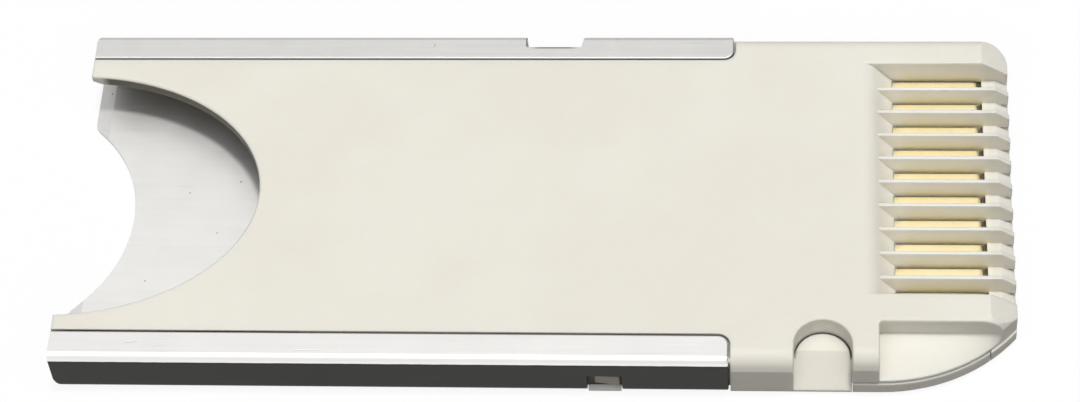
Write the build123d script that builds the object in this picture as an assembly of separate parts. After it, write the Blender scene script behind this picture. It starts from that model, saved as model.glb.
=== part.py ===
from build123d import *

import os
from math import asin, degrees, radians, sqrt, tan

# Adapter that carries a small memory card in the place of a larger one.
# All sizes are in millimetres.
# X runs from the card slot to the contacts, and Z up from the label face to the contact face.
# The origin is the centre of the label face.
# The near side is -Y and the far side is +Y.

# Overall size
length = 50.0
width = 21.5
thickness = 2.8

# Small card that the slot takes
card_length = 31.0
card_width = 20.0
card_thickness = 1.6
card_side_clearance = 0.05
card_end_clearance = 0.35
card_contact_recess = 0.25

# Metal cover, folded from one sheet
sheet = 0.2
cover_length = 35.2
lip_width = 1.69
bend_radius = 0.4
lip_corner_radius = 0.55
lip_edge_radius = 0.09
cover_far_corner_radius = 0.6
cover_wall_corner_radius = 0.9
cover_clearance = 0.03
lip_gap = 0.1
mouth_lead_in = 0.8
mouth_lead_in_depth = 0.1

# Window in the cover's near wall, and the catch that snaps into it
window_start = 27.92
window_length = 1.8
window_top = 1.44
window_tab_clearance = 0.05
catch_start = 28.2
catch_length = 1.4
catch_reach = 0.17
catch_bottom = 0.55
catch_top = 1.22

# Notch through the far side
far_notch_start = 23.9
far_notch_length = 2.95
far_notch_depth = 0.9
far_notch_slant = 0.2
far_notch_corner_radius = 0.35

# Moulded body
contact_wall = 0.65
edge_drop = 0.85
edge_draft = 20.0
edge_radius = 0.88
label_edge_radius = 0.25
rim_radius = 0.1
corner_arc_start = 7.0
corner_arc_radius = 9.0
far_corner_radius = 1.5
bevel_length = 1.43
bevel_depth = 1.0
slot_mouth_chamfer = 0.25

# Finger cut-outs at the slot end
finger_reach = 10.05
finger_centre_setback = 0.57
finger_half_width = 7.9
finger_offset = -0.13
finger_edge_radius = 0.12
floor_arc_radius = 8.0
floor_arc_reach = 2.9
floor_corner_radius = 0.8

# Locking notch in the near side
lock_notch_centre = 9.98
lock_notch_radius = 1.5
lock_notch_reach = 2.73
lock_notch_floor = 1.6
lock_notch_flat = 1.13
lock_notch_outer_floor = 0.3
lock_seam_width = 0.1
lock_seam_depth = 0.3

# Stepped recess at the near front corner
corner_recess_start = 7.1
corner_recess_reach = 2.67
corner_recess_floor = 1.68
corner_recess_rim = 1.03
corner_recess_radius = 0.2

# Contact field
contact_count = 10
contact_pitch = 1.55
window_width = 1.18
field_start = 4.37
pad_level = 1.3
ramp_foot = 6.2
ramp_angle = 50.0
ramp_crest_radius = 1.2
window_end = 1.4
lead_in_start = 0.7
lead_in_drop = 0.4
rib_top = 2.3
rib_top_width = 0.2
rib_start = 7.8

# Contact strips
strip = 0.15
pad_side_gap = 0.15
pad_end_gap = 0.17
neck_width = 0.6
tip_width = 0.4
pad_shoulder = 7.1
shoulder_length = 0.14
strip_bend_radius = 0.15
strip_rise_start = 14.5
strip_arm_level = 1.825
pad_tip_level = 0.8
arm_root = 0.15
touch_distance = 2.15
arm_end_distance = 2.85
touch_preload = 0.1
touch_radius = 0.5
arm_root_radius = 1.0
arm_end_lift = 0.3
groove_clearance = 0.05
groove_depth_clearance = 0.02

# Back plate that clamps the strips
plate_near_edge = 3.0
plate_far_edge = 1.2
plate_clearance = 0.04
flange_step = 0.12
flange_level = 0.85
pad_support_width = 0.6
trough_depth = 0.35
trough_start = 6.1
tip_pocket_length = 0.5
bridge_clearance = 0.03

# Leaf spring that holds the card
leaf = 0.12
leaf_height = 1.0
leaf_start = 17.0
leaf_length = 7.5
leaf_hump_length = 3.2
leaf_reach = 0.3
leaf_bend_radius = 0.6
leaf_pocket_clearance = 0.15
leaf_seat_depth = 0.25

# Levels and positions that follow from the sizes above
slot_end = -length / 2
contact_end = length / 2
near_side = -width / 2
far_side = width / 2
parting = pad_level - strip
slot_ceiling = thickness - contact_wall
slot_half_width = card_width / 2 + card_side_clearance
slot_stop = slot_end + card_length + card_end_clearance
cover_end = slot_end + cover_length
cover_half_inside = width / 2 - sheet
body_half_inside = cover_half_inside - cover_clearance
body_floor = sheet + cover_clearance
window_pitch_rib = contact_pitch - window_width
pad_width = window_width - 2 * pad_side_gap
field_near = near_side + field_start
field_far = field_near + (contact_count - 1) * contact_pitch + window_width
lock_x = contact_end - lock_notch_centre
flange_start = lock_x + lock_notch_radius
plate_front = contact_end - window_end
plate_near = near_side + plate_near_edge
plate_far = far_side - plate_far_edge
rise_x = contact_end - strip_rise_start
underside_shift = strip / 2 * tan(radians(22.5))
overcut = 1.0
overlap = 0.03


def polygon(points):
    """Flat face bounded by straight lines through the points."""
    return make_face(Polyline(*points, close=True))


def block(x_range, y_range, z_range):
    """Box between two limits along each axis."""
    size = [high - low for low, high in (x_range, y_range, z_range)]
    centre = [(high + low) / 2 for low, high in (x_range, y_range, z_range)]
    return Pos(*centre) * Box(*size)


def along_x(section, x_low, x_high):
    """Section drawn in Y and Z, drawn out along X."""
    plane = Plane(origin=(x_low, 0, 0), x_dir=(0, 1, 0), z_dir=(1, 0, 0))
    return extrude(plane * section, amount=x_high - x_low)


def along_y(section, y_low, y_high):
    """Section drawn in X and Z, drawn out along Y."""
    plane = Plane(origin=(0, y_high, 0), x_dir=(1, 0, 0), z_dir=(0, -1, 0))
    return extrude(plane * section, amount=y_high - y_low)


def along_z(section, z_low, z_high):
    """Section drawn in X and Y, drawn out along Z."""
    return extrude(Pos(0, 0, z_low) * section, amount=z_high - z_low)


def corner_bit(x, y, side_x, side_y, radius):
    """The bit of a square corner at x, y that lies outside a rounding of this radius."""
    square = Pos(x - side_x * radius / 2, y - side_y * radius / 2) * Rectangle(radius, radius)
    return square - Pos(x - side_x * radius, y - side_y * radius) * Circle(radius)


def contact_positions():
    """Y of the middle of each contact, from the near side to the far side."""
    first = field_near + window_width / 2
    return [first + index * contact_pitch for index in range(contact_count)]


def body_outline(near_inset):
    """Plan of the moulded body, its near side and corner arc drawn in by near_inset."""
    start = slot_end - 3 * overcut
    near = near_side + near_inset
    arc_x = contact_end - corner_arc_start
    arc_radius = corner_arc_radius - near_inset
    arc_end_y = near + arc_radius - sqrt(arc_radius**2 - corner_arc_start**2)
    near_line = Line((start, near), (arc_x, near))
    arc = TangentArc((arc_x, near), (contact_end, arc_end_y), tangent=(1, 0))
    rest = Polyline((contact_end, arc_end_y), (contact_end, far_side), (start, far_side), (start, near))
    outline = make_face(near_line + arc + rest)
    far_corner = outline.vertices().sort_by_distance((contact_end, far_side))[0]
    return fillet(far_corner, far_corner_radius)


def upper_block(near_inset):
    """Upper part of the body, its top edge drafted and then rounded."""
    outline = body_outline(near_inset)
    edge_level = thickness - edge_drop
    wall = along_z(outline, flange_level, edge_level)
    crown = extrude(Pos(0, 0, edge_level) * outline, amount=edge_drop, taper=edge_draft)
    upper = wall + crown
    rim = upper.faces().sort_by(Axis.Z)[-1].edges()
    rounded = rim.filter_by(lambda edge: edge.center().X > slot_end - overcut)
    return fillet(rounded, edge_radius)


def lower_block(top_level):
    """Lower part of the body at its full width, its label edge rounded."""
    lower = along_z(body_outline(0), 0, top_level)
    rim = lower.faces().sort_by(Axis.Z)[0].edges()
    rounded = rim.filter_by(lambda edge: edge.center().X > slot_end - overcut)
    return fillet(rounded, label_edge_radius)


def plate_region(clearance):
    """Room that the back plate takes in the lower half, with a clearance at its edges.

    The plate's near edge steps down to the flange that the housing's near wall stands on.
    """
    tail = block(
        (slot_stop, plate_front + clearance),
        (plate_near - clearance, plate_far + clearance),
        (-overcut, parting),
    )
    flange = block(
        (flange_start + plate_clearance - clearance, plate_front + clearance),
        (near_side - overcut, plate_far + clearance),
        (-overcut, flange_level),
    )
    return tail + flange


def bridge_section(clearance):
    """Side view of the raised bridge that the strips climb, with a clearance above it."""
    level = strip_arm_level + strip + clearance
    slope_foot = rise_x - underside_shift + (strip + clearance) * sqrt(2)
    return polygon(
        [
            (slot_stop, parting - strip),
            (slope_foot, parting - strip),
            (slope_foot, parting),
            (slope_foot - (level - parting), level),
            (slot_stop, level),
        ]
    )


def recess_section():
    """Side view of the contact recess: ramp, floor, and lead-in at the front."""
    foot = contact_end - ramp_foot
    crest = foot - (thickness - pad_level) / tan(radians(ramp_angle))
    slope = lead_in_drop / lead_in_start
    section = polygon(
        [
            (crest - 3 * overcut, thickness),
            (crest, thickness),
            (foot, pad_level),
            (contact_end - lead_in_start, pad_level),
            (contact_end + overcut, pad_level - lead_in_drop - slope * overcut),
            (contact_end + overcut, thickness + overcut),
            (crest - 3 * overcut, thickness + overcut),
        ]
    )
    crest_point = section.vertices().sort_by_distance((crest, thickness))[0]
    return fillet(crest_point, ramp_crest_radius)


def rib_section(y):
    """End view of one rib, centred on y, tapering to its top."""
    draft = (window_pitch_rib - rib_top_width) / 2 / (rib_top - pad_level)
    base = window_pitch_rib / 2
    foot = base + draft * (pad_level - parting)
    top = rib_top_width / 2
    return polygon([(y - foot, parting), (y + foot, parting), (y + top, rib_top), (y - top, rib_top)])


def far_notch_outline():
    """Plan of the notch in the far side, its mouth corners rounded."""
    start = slot_end + far_notch_start
    end = start + far_notch_length
    floor = far_side - far_notch_depth
    slant_end = end + far_notch_slant
    outline = polygon(
        [
            (start, far_side + overcut),
            (start, floor),
            (end, floor),
            (slant_end, far_side),
            (slant_end, far_side + overcut),
        ]
    )
    outline += corner_bit(start, far_side, 1, 1, far_notch_corner_radius)
    outline += corner_bit(slant_end, far_side, -1, 1, far_notch_corner_radius)
    return outline


def lock_notch():
    """Round-ended notch in the near side, its floor sloping down to the side."""
    centre_y = near_side + lock_notch_reach - lock_notch_radius
    plan = Pos(lock_x, centre_y) * Circle(lock_notch_radius)
    plan += Pos(lock_x, centre_y - 2 * overcut) * Rectangle(2 * lock_notch_radius, 4 * overcut)
    flat_y = centre_y + lock_notch_radius - lock_notch_flat
    slope = (lock_notch_floor - lock_notch_outer_floor) / (flat_y - near_side)
    side_view = polygon(
        [
            (near_side - overcut, lock_notch_outer_floor - slope * overcut),
            (flat_y, lock_notch_floor),
            (far_side, lock_notch_floor),
            (far_side, thickness + overcut),
            (near_side - overcut, thickness + overcut),
        ]
    )
    reach = lock_notch_radius + overcut
    return along_z(plan, -overcut, thickness + overcut) & along_x(side_view, lock_x - reach, lock_x + reach)


def lock_seam():
    """Parting seam round the foot of the lock notch's wall."""
    centre_y = near_side + lock_notch_reach - lock_notch_radius
    ring = Circle(lock_notch_radius) - Circle(lock_notch_radius - lock_seam_width)
    return along_z(
        Pos(lock_x, centre_y) * ring,
        lock_notch_floor - lock_seam_depth,
        lock_notch_floor + overlap,
    )


def corner_recess():
    """Recess at the near front corner, its floor falling from the wall's foot to the rim on the arc."""
    start = contact_end - corner_recess_start
    wall_y = near_side + corner_recess_reach
    recess = block(
        (start, contact_end + overcut),
        (near_side - overcut, wall_y),
        (corner_recess_rim, thickness + overcut),
    )
    inner = recess.edges().filter_by(Axis.Z).sort_by_distance((start, wall_y, thickness))[0]
    recess = fillet(inner, corner_recess_radius)
    arc_x = contact_end - corner_arc_start
    arc_y = near_side + corner_arc_radius
    radius = corner_arc_radius - flange_step + overlap
    first_angle = -90 - degrees(asin((arc_x - start + overlap) / radius))
    last_angle = -degrees(asin((arc_y - wall_y + overlap) / radius))
    arc = CenterArc((arc_x, arc_y), radius, first_angle, last_angle - first_angle)
    rim = Pos(0, 0, corner_recess_rim) * arc
    foot = Line(
        (start - overlap, wall_y + overlap, corner_recess_floor),
        ((rim @ 1).X - overlap, wall_y + overlap, corner_recess_floor),
    )
    floor = Face.make_surface_from_curves(foot.edge(), rim.edge())
    return recess - extrude(floor, amount=corner_recess_floor, dir=(0, 0, -1))


def leaf_pocket():
    """Room for the leaf spring in the near rail: a shallow seat and an opening for its hump."""
    start = slot_end + leaf_start - leaf_pocket_clearance
    end = slot_end + leaf_start + leaf_length + leaf_pocket_clearance
    middle = (start + end) / 2
    half_hump = leaf_hump_length / 2 + leaf_pocket_clearance
    seat_z = (thickness - leaf_height) / 2 - leaf_pocket_clearance
    heights = (seat_z, thickness - seat_z)
    rail_face = -body_half_inside
    seat = block((start, end), (rail_face - overcut, rail_face + leaf_seat_depth), heights)
    opening = block(
        (middle - half_hump, middle + half_hump),
        (rail_face - overcut, -slot_half_width + overcut),
        heights,
    )
    return seat + opening


def cover_room():
    """Everything round the body that the metal cover takes."""
    start = slot_end - overcut
    end = cover_end + lip_gap
    core = Pos(0, thickness / 2) * RectangleRounded(
        2 * body_half_inside,
        thickness - 2 * body_floor,
        bend_radius - body_floor,
    )
    plateau_half = far_side - lip_width - lip_gap
    plateau = Pos((start + end) / 2, 0) * Rectangle(end - start, 2 * plateau_half)
    for side in (-1, 1):
        plateau += corner_bit(end, side * plateau_half, 1, -side, lip_corner_radius + lip_gap)
    room = block((start, end), (near_side - overcut, far_side + overcut), (-overcut, thickness + overcut))
    room -= along_x(core, start, end)
    room -= along_z(plateau, thickness / 2, thickness + overcut)
    return room


def card_slot():
    """Slot for the small card, open below to the cover and chamfered at its mouth."""
    slot = block(
        (slot_end - overcut, slot_stop),
        (-slot_half_width, slot_half_width),
        (-overcut, slot_ceiling),
    )
    flare = slot_mouth_chamfer + overcut
    mouth = polygon(
        [
            (slot_end - overcut, -slot_half_width - flare),
            (slot_end + slot_mouth_chamfer, -slot_half_width),
            (slot_end + slot_mouth_chamfer, slot_half_width),
            (slot_end - overcut, slot_half_width + flare),
        ]
    )
    slot += along_z(mouth, -overcut, slot_ceiling)
    lead_in = polygon(
        [
            (slot_end - overcut, slot_ceiling + slot_mouth_chamfer + overcut / 2),
            (slot_end + 2 * slot_mouth_chamfer, slot_ceiling),
            (slot_end - overcut, slot_ceiling),
        ]
    )
    slot += along_y(lead_in, -slot_half_width, slot_half_width)
    return slot


def finger_cut():
    """Half-oval cut in the contact-side wall that uncovers the card's end."""
    half_length = finger_reach + finger_centre_setback
    oval = Pos(slot_end - finger_centre_setback, finger_offset) * Ellipse(half_length, finger_half_width)
    return along_z(oval, sheet + overcut, thickness + overcut)


def soften_rims(housing):
    """Round the sharp rims that the cuts leave in the contact face."""
    ramp_end = contact_end - ramp_foot
    rims = [
        (slot_end + finger_reach, finger_offset, finger_edge_radius),
        (lock_x, near_side + lock_notch_reach, rim_radius),
        (ramp_end, field_far, rim_radius),
        (ramp_end, field_near, rim_radius),
        (ramp_end, near_side + corner_recess_reach, rim_radius),
    ]
    for x, y, radius in rims:
        rim = housing.edges().sort_by_distance((x, y, thickness))[0]
        housing = fillet(rim, radius)
    return housing


def moulded_body():
    """Outside of the body: drafted upper edges, rounded label edges and the front bevel."""
    split = flange_start - plate_clearance
    full_width = (near_side - overcut, far_side + overcut)
    full_height = (-overcut, thickness + overcut)
    wide_part = block((slot_end, split), full_width, full_height)
    inset_part = block((split, contact_end + overcut), full_width, full_height)
    lower = lower_block(flange_level) & (wide_part + inset_part)
    body = lower + (upper_block(0) & wide_part) + (upper_block(flange_step) & inset_part)
    bevel_end = thickness - bevel_depth * (1 + overcut / bevel_length)
    bevel = polygon(
        [
            (contact_end - bevel_length, thickness),
            (contact_end + overcut, bevel_end),
            (contact_end + overcut, thickness + overcut),
            (contact_end - bevel_length, thickness + overcut),
        ]
    )
    return body - along_y(bevel, *full_width)


def contact_recess(body):
    """Cut the contact field into the body, with a window under each contact and ribs between."""
    ribs = [
        along_x(rib_section(y + contact_pitch / 2), contact_end - rib_start, contact_end) & body
        for y in contact_positions()[:-1]
    ]
    body -= along_y(recess_section(), field_near, field_far)
    for y in contact_positions():
        body -= block(
            (contact_end - ramp_foot, contact_end - window_end),
            (y - window_width / 2, y + window_width / 2),
            (-overcut, pad_level + overcut),
        )
    for rib in ribs:
        body += rib
    return body


def back_room():
    """Room in the label side for the back plate, its bridge and the strips' wide ends."""
    room = plate_region(plate_clearance)
    room += along_y(
        bridge_section(bridge_clearance),
        plate_near - plate_clearance,
        plate_far + plate_clearance,
    )
    groove_half = (pad_width + groove_clearance) / 2
    for y in contact_positions():
        room += block(
            (rise_x, contact_end - ramp_foot),
            (y - groove_half, y + groove_half),
            (0, pad_level + groove_depth_clearance),
        )
    return room


def window_catch():
    """Wedge on the near rail that snaps into the cover's window."""
    start = slot_end + catch_start
    end = start + catch_length
    wedge = polygon(
        [
            (start, -body_half_inside),
            (end, -body_half_inside - catch_reach),
            (end, -body_half_inside),
        ]
    )
    return along_z(wedge, catch_bottom, catch_top)


def base_housing():
    """Moulded housing with the card slot, the contact windows and the notches."""
    housing = contact_recess(moulded_body())
    housing -= lock_notch()
    housing -= lock_seam()
    housing -= corner_recess()
    housing -= card_slot()
    housing -= cover_room()
    housing -= finger_cut()
    housing -= along_z(far_notch_outline(), -overcut, thickness + overcut)
    housing -= back_room()
    housing -= leaf_pocket()
    housing += window_catch()
    return soften_rims(housing)


def back_plate():
    """Plate that closes the label side at the contact end and clamps the strips."""
    plate = lower_block(parting) & plate_region(0)
    plate -= block(
        (slot_end, cover_end + lip_gap),
        (near_side, far_side),
        (-overcut, body_floor),
    )
    plate += along_y(bridge_section(0), plate_near, plate_far)
    trough_width = contact_pitch - pad_support_width
    trough_positions = [y - contact_pitch / 2 for y in contact_positions()]
    trough_positions.append(contact_positions()[-1] + contact_pitch / 2)
    for y in trough_positions:
        plate -= block(
            (contact_end - trough_start, plate_front),
            (y - trough_width / 2, y + trough_width / 2),
            (parting - trough_depth, parting + overcut),
        )
    plate -= block(
        (plate_front - tip_pocket_length, plate_front + overcut),
        (field_near, field_far),
        (pad_tip_level - strip, parting + overcut),
    )
    groove_half = (neck_width + groove_clearance) / 2
    foot_x = rise_x - underside_shift
    brow_x = foot_x - (strip_arm_level - parting)
    groove = polygon(
        [
            (slot_stop - overcut, strip_arm_level),
            (brow_x, strip_arm_level),
            (foot_x, parting),
            (rise_x + overcut, parting),
            (rise_x + overcut, thickness),
            (slot_stop - overcut, thickness),
        ]
    )
    brow = groove.vertices().sort_by_distance((brow_x, strip_arm_level))[0]
    groove = fillet(brow, strip_bend_radius)
    for y in contact_positions():
        plate -= along_y(groove, y - groove_half, y + groove_half)
    return plate


def metal_cover():
    """Folded sheet cover: label face, side walls and the two lips on the contact face."""
    centre = Pos(0, thickness / 2)
    outer = centre * RectangleRounded(width, thickness, bend_radius)
    inner = centre * RectangleRounded(width - 2 * sheet, thickness - 2 * sheet, bend_radius - sheet)
    opening = Pos(0, thickness) * Rectangle(width - 2 * lip_width, thickness)
    cover = along_x(outer - inner - opening, slot_end, cover_end)
    for side in (-1, 1):
        lip_inner = side * (far_side - lip_width)
        tip = corner_bit(cover_end, lip_inner, 1, -side, lip_corner_radius)
        cover -= along_z(tip, thickness / 2, thickness + overcut)
    inner_rim = cover.faces().sort_by(Axis.Z)[-2:].edges().filter_by(
        lambda edge: abs(edge.center().Y) < far_side - lip_width + lip_corner_radius
        and edge.center().X > slot_end + overcut
    )
    cover = fillet(inner_rim, lip_edge_radius)
    cover -= along_z(
        corner_bit(slot_end, far_side, -1, 1, cover_far_corner_radius),
        bend_radius,
        thickness + overcut,
    )
    wall_corner = corner_bit(slot_end, 0, -1, -1, cover_wall_corner_radius)
    cover -= along_y(wall_corner, near_side - overcut, near_side + bend_radius)
    cover -= along_y(wall_corner, far_side - bend_radius, far_side + overcut)
    floor_arc = Pos(slot_end + floor_arc_reach - floor_arc_radius, 0) * Circle(floor_arc_radius)
    cover -= along_z(floor_arc, -overcut, thickness / 2)
    horns = cover.edges().filter_by(Axis.Z).filter_by(
        lambda edge: abs(edge.center().X - slot_end) < overcut / 10
        and abs(edge.center().Y) < floor_arc_radius
    )
    cover = fillet(horns, floor_corner_radius)
    lead_in = polygon(
        [
            (slot_end - overcut, sheet + overcut),
            (slot_end - overcut, sheet - mouth_lead_in_depth * (1 + overcut / mouth_lead_in)),
            (slot_end + mouth_lead_in, sheet),
            (slot_end + mouth_lead_in, sheet + overcut),
        ]
    )
    lead_in_half = cover_half_inside - bend_radius
    cover -= along_y(lead_in, -lead_in_half, lead_in_half) & block(
        (slot_end - overcut, cover_end), (near_side, far_side), (0, sheet + overcut / 2)
    )
    cover -= along_z(far_notch_outline(), -overcut, thickness + overcut)
    window_x = (slot_end + window_start, slot_end + window_start + window_length)
    cover -= block(window_x, (near_side - overcut, near_side + bend_radius), (-overcut, window_top))
    cover += block(
        (window_x[0] + window_tab_clearance, window_x[1] - window_tab_clearance),
        (near_side + window_tab_clearance, near_side + bend_radius),
        (0, sheet),
    )
    return cover


def contact_strip():
    """One stamped contact at Y = 0: bent-down end, pad, climb, sprung arm and touching tip."""
    half = strip / 2
    pad_mid = parting + half
    arm_mid = strip_arm_level + half
    rise = arm_mid - pad_mid
    end_x = plate_front - pad_end_gap - half
    touch_level = sheet + card_thickness - card_contact_recess - touch_preload + half
    bend = strip_bend_radius + half
    side_view = FilletPolyline(
        (end_x, pad_tip_level),
        (end_x, pad_mid),
        (rise_x, pad_mid),
        (rise_x - rise, arm_mid),
        (slot_stop - arm_root, arm_mid),
        (slot_stop - touch_distance, touch_level),
        (slot_stop - arm_end_distance, touch_level + arm_end_lift),
        radius=[bend, bend, bend, arm_root_radius, touch_radius],
    )
    path = Plane(origin=(0, 0, 0), x_dir=(1, 0, 0), z_dir=(0, -1, 0)) * side_view
    section = Plane(origin=path @ 0, x_dir=(0, 1, 0), z_dir=path % 0) * Rectangle(pad_width, strip)
    ribbon = sweep(section, path=path)
    shoulder = contact_end - pad_shoulder
    half_plan = [
        (contact_end, pad_width / 2),
        (shoulder, pad_width / 2),
        (shoulder - shoulder_length, neck_width / 2),
        (slot_stop, neck_width / 2),
        (slot_stop - arm_end_distance - overcut, tip_width / 2),
    ]
    plan = polygon(half_plan + [(x, -y) for x, y in reversed(half_plan)])
    return ribbon & along_z(plan, 0, thickness)


def card_spring():
    """Leaf spring in the near rail, its hump reaching into the slot to hold the card."""
    half = leaf / 2
    seat_y = -cover_half_inside + cover_clearance + half
    hump_y = -slot_half_width + leaf_reach - half
    start = slot_end + leaf_start
    middle = start + leaf_length / 2
    plan = FilletPolyline(
        (start, seat_y),
        (middle - leaf_hump_length / 2, seat_y),
        (middle, hump_y),
        (middle + leaf_hump_length / 2, seat_y),
        (start + leaf_length, seat_y),
        radius=[leaf_bend_radius] * 3,
    )
    path = Pos(0, 0, thickness / 2) * plan
    section = Plane(origin=path @ 0, x_dir=(0, 0, 1), z_dir=path % 0) * Rectangle(leaf_height, leaf)
    return sweep(section, path=path)


def write(part, name):
    """Write one piece to its own file."""
    part.label = name
    export_step(part, f"parts/{name}.step")


def main():
    os.makedirs("parts", exist_ok=True)
    write(base_housing(), "base_housing")
    write(back_plate(), "back_plate")
    write(metal_cover(), "metal_cover")
    write(card_spring(), "card_spring")
    strip_shape = contact_strip()
    for number, y in enumerate(contact_positions(), start=1):
        write(Pos(0, y, 0) * strip_shape, f"contact_{number:02d}")


main()
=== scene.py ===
"""Looks of the card adapter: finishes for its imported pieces, and the white studio that it lies in.

Sizes are in millimetres, as in the part's source, unless a name ends in _m.
X runs from the card slot to the contacts, and Z up from the label face to the contact face.
"""

import logging
import math
from dataclasses import dataclass, field
from enum import Enum
from typing import Any, Optional, Union

import bmesh
import bpy
from mathutils import Matrix, Vector


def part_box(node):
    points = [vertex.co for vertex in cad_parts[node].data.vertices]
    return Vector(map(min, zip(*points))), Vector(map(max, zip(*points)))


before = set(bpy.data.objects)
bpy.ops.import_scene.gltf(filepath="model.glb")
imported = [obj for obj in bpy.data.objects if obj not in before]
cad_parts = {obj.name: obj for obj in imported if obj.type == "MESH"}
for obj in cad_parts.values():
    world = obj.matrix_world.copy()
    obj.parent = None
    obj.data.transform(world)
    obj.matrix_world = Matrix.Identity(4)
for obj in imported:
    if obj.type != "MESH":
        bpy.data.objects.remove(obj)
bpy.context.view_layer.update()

LOG = logging.getLogger("adapter")
MM = 0.001

Colour = tuple[float, float, float]
Triple = tuple[float, float, float]
Range = tuple[float, float]
Key = Union[int, str]


class NodeKind(Enum):
    """Shader nodes that the finishes and the studio use."""

    MATH = "ShaderNodeMath"
    VECTOR_MATH = "ShaderNodeVectorMath"
    MIX = "ShaderNodeMix"
    MAP_RANGE = "ShaderNodeMapRange"
    MAPPING = "ShaderNodeMapping"
    SEPARATE = "ShaderNodeSeparateXYZ"
    NOISE = "ShaderNodeTexNoise"
    COORDINATES = "ShaderNodeTexCoord"
    GEOMETRY = "ShaderNodeNewGeometry"
    BEVEL = "ShaderNodeBevel"
    OCCLUSION = "ShaderNodeAmbientOcclusion"
    BUMP = "ShaderNodeBump"
    PRINCIPLED = "ShaderNodeBsdfPrincipled"
    DIFFUSE = "ShaderNodeBsdfDiffuse"
    EMISSION = "ShaderNodeEmission"
    TRANSPARENT = "ShaderNodeBsdfTransparent"
    MIX_SHADER = "ShaderNodeMixShader"
    LIGHT_PATH = "ShaderNodeLightPath"
    BACKGROUND = "ShaderNodeBackground"
    SURFACE_OUTPUT = "ShaderNodeOutputMaterial"
    WORLD_OUTPUT = "ShaderNodeOutputWorld"


class Operation(Enum):
    """Arithmetic that a Math node does for an expression."""

    ADD = "ADD"
    SUBTRACT = "SUBTRACT"
    MULTIPLY = "MULTIPLY"
    DIVIDE = "DIVIDE"
    MAXIMUM = "MAXIMUM"
    ABSOLUTE = "ABSOLUTE"


class RayKind(Enum):
    """Kinds of ray that a Light Path node tells apart."""

    CAMERA = "Is Camera Ray"
    GLOSSY = "Is Glossy Ray"
    TRANSMISSION = "Is Transmission Ray"


class MixSocket(Enum):
    """Places of a colour Mix node's sockets."""

    FACTOR = 0
    FIRST = 6
    SECOND = 7
    RESULT = 2


class Value:
    """A number on a shader socket, whose arithmetic adds Math nodes."""

    def __init__(self, graph: "Graph", socket: bpy.types.NodeSocket) -> None:
        """Wrap a socket.

        Args:
            graph: Graph that the socket's node is in.
            socket: Output socket that carries the number.
        """
        self.graph = graph
        self.socket = socket

    def _math(self, operation: Operation, *operands: "Number") -> "Value":
        """Add a Math node.

        Args:
            operation: What the node does.
            operands: Its inputs, in order.

        Returns:
            The node's result.
        """
        settings = {"operation": operation.value}
        node = self.graph.add(NodeKind.MATH, settings, dict(enumerate(operands)))
        return Value(self.graph, node.outputs[0])

    def __add__(self, other: "Number") -> "Value":
        """Return self + other."""
        return self._math(Operation.ADD, self, other)

    def __radd__(self, other: "Number") -> "Value":
        """Return other + self."""
        return self._math(Operation.ADD, other, self)

    def __sub__(self, other: "Number") -> "Value":
        """Return self - other."""
        return self._math(Operation.SUBTRACT, self, other)

    def __rsub__(self, other: "Number") -> "Value":
        """Return other - self."""
        return self._math(Operation.SUBTRACT, other, self)

    def __mul__(self, other: "Number") -> "Value":
        """Return self * other."""
        return self._math(Operation.MULTIPLY, self, other)

    def __rmul__(self, other: "Number") -> "Value":
        """Return other * self."""
        return self._math(Operation.MULTIPLY, other, self)

    def __truediv__(self, other: "Number") -> "Value":
        """Return self / other."""
        return self._math(Operation.DIVIDE, self, other)

    def __abs__(self) -> "Value":
        """Return the size of self."""
        return self._math(Operation.ABSOLUTE, self)

    def at_least(self, other: "Number") -> "Value":
        """Return the larger of self and other."""
        return self._math(Operation.MAXIMUM, self, other)

    def rise(self, low: float, high: float) -> "Value":
        """Ease from 0 to 1 as the number goes from low to high.

        Args:
            low: Number up to which the result is 0.
            high: Number from which the result is 1.

        Returns:
            The eased number.
        """
        node = self.graph.add(
            NodeKind.MAP_RANGE,
            {"interpolation_type": "SMOOTHSTEP"},
            {"Value": self, "From Min": low, "From Max": high},
        )
        return Value(self.graph, node.outputs[0])

    def fall(self, low: float, high: float) -> "Value":
        """Ease from 1 to 0 as the number goes from low to high."""
        return 1.0 - self.rise(low, high)

    def within(self, low: float, high: float, start: float, end: float) -> "Value":
        """Ease to 1 above one number and back to 0 below another.

        Args:
            low: Number up to which the result is 0.
            high: Number from which the result is 0 again.
            start: How far above low the result is 1.
            end: How far below high it starts to fall.

        Returns:
            The eased number.
        """
        return self.rise(low, low + start) * self.fall(high - end, high)


Number = Union[float, Value]
Input = Union[float, bool, tuple, Value, bpy.types.NodeSocket]


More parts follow.
